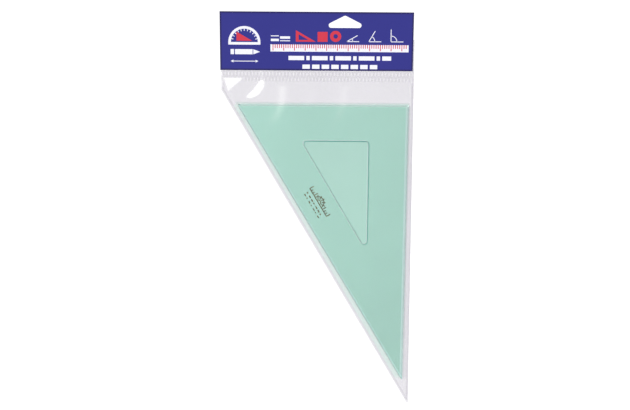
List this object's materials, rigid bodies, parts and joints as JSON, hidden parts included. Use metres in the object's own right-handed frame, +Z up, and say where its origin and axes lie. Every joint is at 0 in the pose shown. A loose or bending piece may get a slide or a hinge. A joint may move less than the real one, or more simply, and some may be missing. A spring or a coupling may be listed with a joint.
{
  "type": "set square",
  "caption": "Clear green 30/60/90 acrylic set square sealed in a welded clear bag under a folded header card with a hang hole.",
  "frame": {"origin": "middle of the hang hole in the header card, in the plane where the two films meet", "axes": "+X to the right seen from the front, +Y from the front to the back, +Z up; the pack hangs from the hole with the square's 30 degree tip down"},
  "size_m": [0.1375, 0.0028, 0.2935],
  "materials": {
    "green_acrylic": "polished, tinted and clear, with polished bevelled edges",
    "clear_film": "thin clear film with welded and crimped seams",
    "printed_card": "coated card printed dark blue with plain red and white shapes"
  },
  "bodies": {
    "pack": {"header_card": "printed_card", "bag_front_film": "clear_film", "bag_back_film": "clear_film"},
    "square": {"set_square": "green_acrylic", "window_blank": "green_acrylic"}
  },
  "joints": [
    {"name": "square_slide", "type": "slide", "parent": "pack", "child": "square", "axis": [0, 0, 1], "range_m": [0, 0.0135]}
  ]
}
